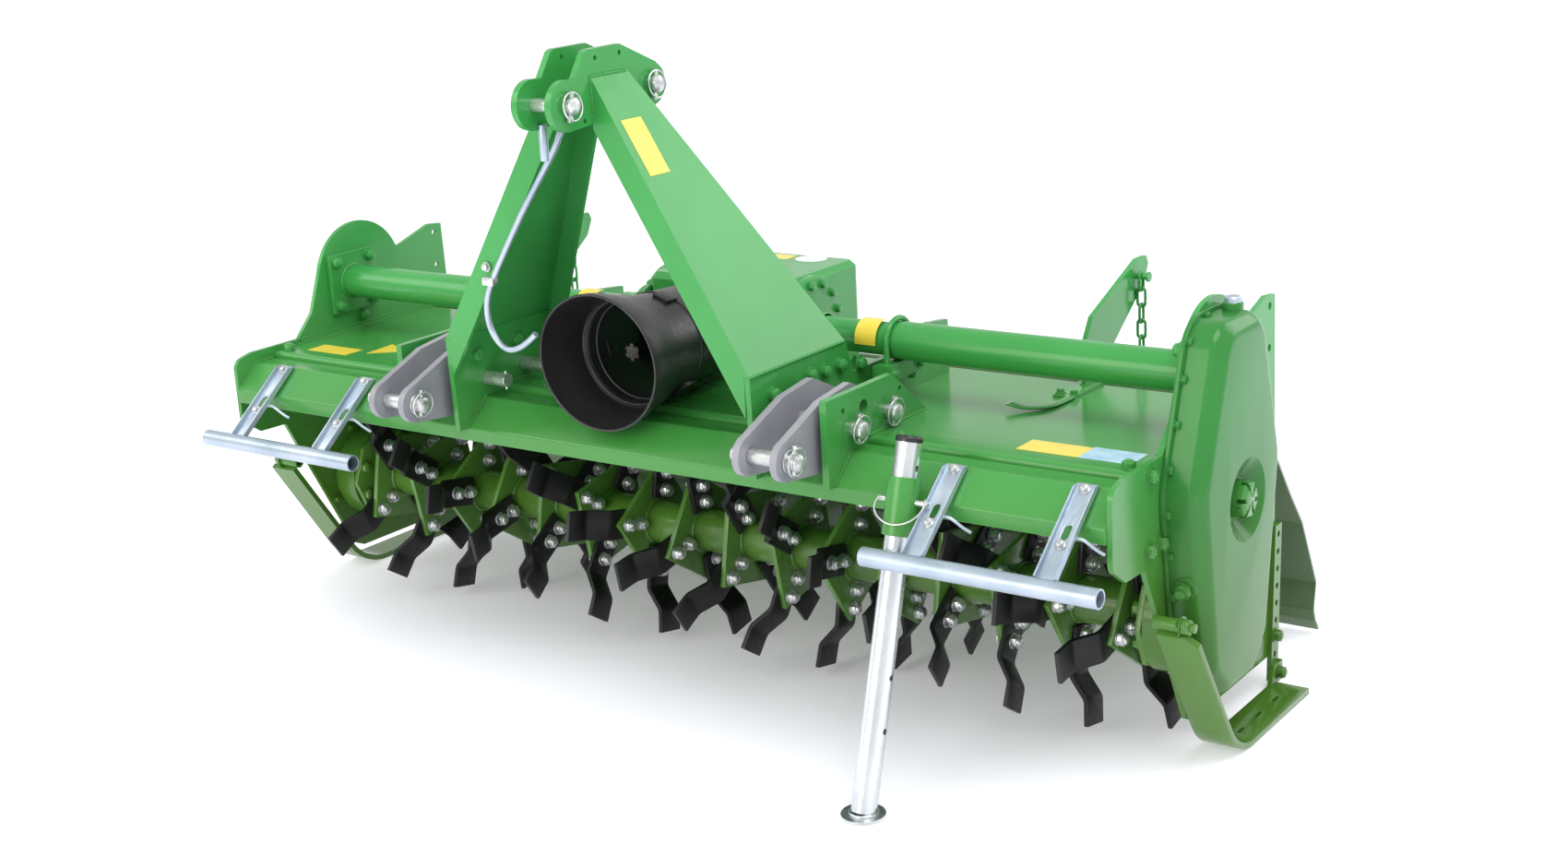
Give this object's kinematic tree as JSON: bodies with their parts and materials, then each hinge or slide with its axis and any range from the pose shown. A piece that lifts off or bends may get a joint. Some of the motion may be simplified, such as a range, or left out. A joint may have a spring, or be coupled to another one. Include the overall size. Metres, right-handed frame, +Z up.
{
  "type": "rotavator",
  "caption": "Three-point rotavator with a bladed rotor under a deck, an A-frame mast, side gear case, hinged rear board, skids, front guards and a pull-up stand.",
  "frame": {"origin": "on the floor below the rotor's axis, midway between the lower hitch points", "axes": "+X along the rotor to the gear case, -Y towards the tractor, +Z up"},
  "size_m": [2.2773, 1.1769, 1.2656],
  "materials": {
    "green_paint": "gloss",
    "grey_paint": "satin",
    "zinc": "galvanised",
    "steel": "bright plated",
    "black_plastic": "satin"
  },
  "bodies": {
    "frame": {"side_plate_left": "green_paint", "side_plate_right": "green_paint", "front_beam": "green_paint", "deck": "green_paint", "gearbox": "green_paint", "cross_tube_left": "green_paint", "cross_tube_right": "green_paint", "tube_clamp_left": "green_paint", "tube_clamp_right": "green_paint", "centre_plate_left": "green_paint", "centre_plate_right": "green_paint", "outer_plate_left": "green_paint", "outer_plate_right": "green_paint", "head_plate_left": "green_paint", "head_plate_right": "green_paint", "mast_leg_left": "green_paint", "mast_leg_right": "green_paint", "bearing_left": "green_paint", "bearing_right": "green_paint", "gear_case": "green_paint", "case_nut": "green_paint", "skid_left": "green_paint", "skid_right": "green_paint", "skid_strap_left": "green_paint", "skid_strap_right": "green_paint", "stand_sleeve": "green_paint", "chain_arm_left": "green_paint", "chain_arm_right": "green_paint", "chain_left": "green_paint", "chain_right": "green_paint", "clevis_left": "grey_paint", "clevis_right": "grey_paint", "guard_left": "zinc", "guard_right": "zinc", "hook_rod": "zinc", "hitch_pin_left": "steel", "hitch_pin_right": "steel", "clevis_pins_left": "steel", "clevis_pins_right": "steel", "top_pin": "steel", "rear_pin": "steel", "hinge_rod": "steel", "pto_shield": "black_plastic"},
    "rotor": {"rotor": "green_paint"},
    "input_shaft": {"pto_shaft": "steel"},
    "board": {"rear_board": "green_paint"},
    "stand": {"stand_leg": "zinc"}
  },
  "joints": [
    {"name": "rotor_spin", "type": "hinge", "parent": "frame", "child": "rotor", "pos_m": [0, 0, 0.24], "axis": [1, 0, 0], "continuous": true},
    {"name": "pto_spin", "type": "hinge", "parent": "frame", "child": "input_shaft", "pos_m": [0, -0.2, 0.68], "axis": [0, 1, 0], "continuous": true},
    {"name": "board_hinge", "type": "hinge", "parent": "frame", "child": "board", "pos_m": [0, 0.272, 0.56], "axis": [1, 0, 0], "range_deg": [0, 60], "deforming": ["chain_left", "chain_right"]},
    {"name": "stand_slide", "type": "slide", "parent": "frame", "child": "stand", "axis": [0, 0.2924, 0.9563], "range_m": [0, 0.3]}
  ],
  "couplings": [
    {"joint": "pto_spin", "follows": "rotor_spin", "ratio": -2.4}
  ]
}
